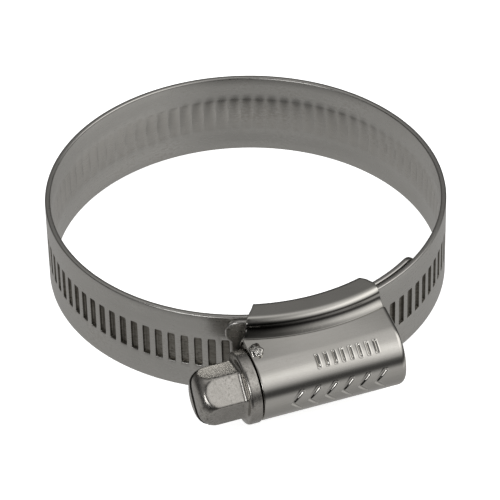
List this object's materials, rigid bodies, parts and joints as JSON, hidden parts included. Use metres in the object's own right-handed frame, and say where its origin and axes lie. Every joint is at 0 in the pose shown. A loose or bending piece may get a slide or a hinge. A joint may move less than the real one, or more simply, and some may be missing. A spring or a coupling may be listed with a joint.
{
  "type": "worm drive hose clamp",
  "caption": "Worm drive hose clamp: an embossed steel band that laps over itself, a pressed worm housing and a slotted hex head screw that draws the band closed.",
  "frame": {"origin": "on the hose axis, at the middle of the band's width, with the clamp open", "axes": "+Z along the hose; the housing is on the -Y side; the screw lies along X with its head towards -X"},
  "size_m": [0.0565, 0.0656, 0.0148],
  "materials": {
    "band_steel": "rolled stainless strip, satin",
    "housing_steel": "pressed stainless sheet, fine brushed",
    "screw_steel": "cold headed stainless, tumbled"
  },
  "bodies": {
    "housing": {"housing": "housing_steel", "band_anchor": "band_steel"},
    "screw": {"screw": "screw_steel", "worm_thread": "screw_steel"},
    "link_01": {"band_link_01": "band_steel", "band_link_02": "band_steel"},
    "link_02": {"band_link_03": "band_steel", "band_link_04": "band_steel"},
    "link_03": {"band_link_05": "band_steel", "band_link_06": "band_steel"},
    "link_04": {"band_link_07": "band_steel", "band_link_08": "band_steel"},
    "link_05": {"band_link_09": "band_steel", "band_link_10": "band_steel"},
    "link_06": {"band_link_11": "band_steel", "band_link_12": "band_steel"},
    "link_07": {"band_link_13": "band_steel", "band_link_14": "band_steel"},
    "link_08": {"band_link_15": "band_steel", "band_link_16": "band_steel"},
    "link_09": {"band_link_17": "band_steel", "band_link_18": "band_steel"},
    "link_10": {"band_link_19": "band_steel", "band_link_20": "band_steel"},
    "link_11": {"band_link_21": "band_steel", "band_link_22": "band_steel"},
    "tail": {"band_link_23": "band_steel", "band_link_24": "band_steel", "band_tail": "band_steel"},
    "strip_01": {"band_strip_01": "band_steel"},
    "strip_02": {"band_strip_02": "band_steel"}
  },
  "joints": [
    {"name": "screw_turn", "type": "hinge", "parent": "housing", "child": "screw", "pos_m": [0, -0.03263, 0], "axis": [1, 0, 0], "range_deg": [0, 11680]},
    {"name": "band_bend_01", "type": "hinge", "parent": "housing", "child": "link_01", "pos_m": [-0.00376, -0.02734, 0], "axis": [0, 0, -1], "range_deg": [-0.3, 13.02], "deforming": ["band_link_01", "band_link_02"]},
    {"name": "band_bend_02", "type": "hinge", "parent": "link_01", "child": "link_02", "pos_m": [-0.01742, -0.02141, 0], "axis": [0, 0, -1], "range_deg": [-0.3, 17.26], "deforming": ["band_link_03", "band_link_04"]},
    {"name": "band_bend_03", "type": "hinge", "parent": "link_02", "child": "link_03", "pos_m": [-0.02601, -0.00924, 0], "axis": [0, 0, -1], "range_deg": [-0.3, 17.26], "deforming": ["band_link_05", "band_link_06"]},
    {"name": "band_bend_04", "type": "hinge", "parent": "link_03", "child": "link_04", "pos_m": [-0.02702, 0.00562, 0], "axis": [0, 0, -1], "range_deg": [-0.3, 17.24], "deforming": ["band_link_07", "band_link_08"]},
    {"name": "band_bend_05", "type": "hinge", "parent": "link_04", "child": "link_05", "pos_m": [-0.02017, 0.01884, 0], "axis": [0, 0, -1], "range_deg": [-0.3, 15.95], "deforming": ["band_link_09", "band_link_10"]},
    {"name": "band_bend_06", "type": "hinge", "parent": "link_05", "child": "link_06", "pos_m": [-0.00742, 0.0266, 0], "axis": [0, 0, -1], "range_deg": [-0.3, 15.94], "deforming": ["band_link_11", "band_link_12"]},
    {"name": "band_bend_07", "type": "hinge", "parent": "link_06", "child": "link_07", "pos_m": [0.00742, 0.0266, 0], "axis": [0, 0, -1], "range_deg": [-0.3, 16.47], "deforming": ["band_link_13", "band_link_14"]},
    {"name": "band_bend_08", "type": "hinge", "parent": "link_07", "child": "link_08", "pos_m": [0.0202, 0.01903, 0], "axis": [0, 0, -1], "range_deg": [-0.3, 16.23], "deforming": ["band_link_15", "band_link_16"]},
    {"name": "band_bend_09", "type": "hinge", "parent": "link_08", "child": "link_09", "pos_m": [0.02733, 0.00601, 0], "axis": [0, 0, -1], "range_deg": [-0.3, 15.21], "deforming": ["band_link_17", "band_link_18"]},
    {"name": "band_bend_10", "type": "hinge", "parent": "link_09", "child": "link_10", "pos_m": [0.02684, -0.00883, 0], "axis": [0, 0, -1], "range_deg": [-0.3, 15.21], "deforming": ["band_link_19", "band_link_20"]},
    {"name": "band_bend_11", "type": "hinge", "parent": "link_10", "child": "link_11", "pos_m": [0.01885, -0.02134, 0], "axis": [0, 0, -1], "range_deg": [-0.3, 15.21], "deforming": ["band_link_21", "band_link_22"]},
    {"name": "tail_bend", "type": "hinge", "parent": "link_11", "child": "tail", "pos_m": [0.0056, -0.02805, 0], "axis": [0, 0, -1], "range_deg": [-0.3, 16.97], "deforming": ["band_link_23", "band_link_24", "band_tail"]},
    {"name": "strip_bend_01", "type": "hinge", "parent": "housing", "child": "strip_01", "pos_m": [0.00376, -0.02734, 0], "axis": [0, 0, 1], "range_deg": [-0.3, 9.19], "deforming": ["band_strip_01"]},
    {"name": "strip_bend_02", "type": "hinge", "parent": "strip_01", "child": "strip_02", "pos_m": [0.01098, -0.02527, 0], "axis": [0, 0, 1], "range_deg": [-0.3, 8.96], "deforming": ["band_strip_02"]}
  ],
  "couplings": [
    {"joint": "band_bend_01", "follows": "screw_turn", "ratio": 0.0010893},
    {"joint": "band_bend_02", "follows": "screw_turn", "ratio": 0.0014524},
    {"joint": "band_bend_03", "follows": "screw_turn", "ratio": 0.0014524},
    {"joint": "band_bend_04", "follows": "screw_turn", "ratio": 0.00145},
    {"joint": "band_bend_05", "follows": "screw_turn", "ratio": 0.0013401},
    {"joint": "band_bend_06", "follows": "screw_turn", "ratio": 0.0013389},
    {"joint": "band_bend_07", "follows": "screw_turn", "ratio": 0.001384},
    {"joint": "band_bend_08", "follows": "screw_turn", "ratio": 0.0013637},
    {"joint": "band_bend_09", "follows": "screw_turn", "ratio": 0.0012769},
    {"joint": "band_bend_10", "follows": "screw_turn", "ratio": 0.0012769},
    {"joint": "band_bend_11", "follows": "screw_turn", "ratio": 0.0012769},
    {"joint": "tail_bend", "follows": "screw_turn", "ratio": 0.0014273},
    {"joint": "strip_bend_01", "follows": "screw_turn", "ratio": 0.00076084},
    {"joint": "strip_bend_02", "follows": "screw_turn", "ratio": 0.00074182}
  ]
}
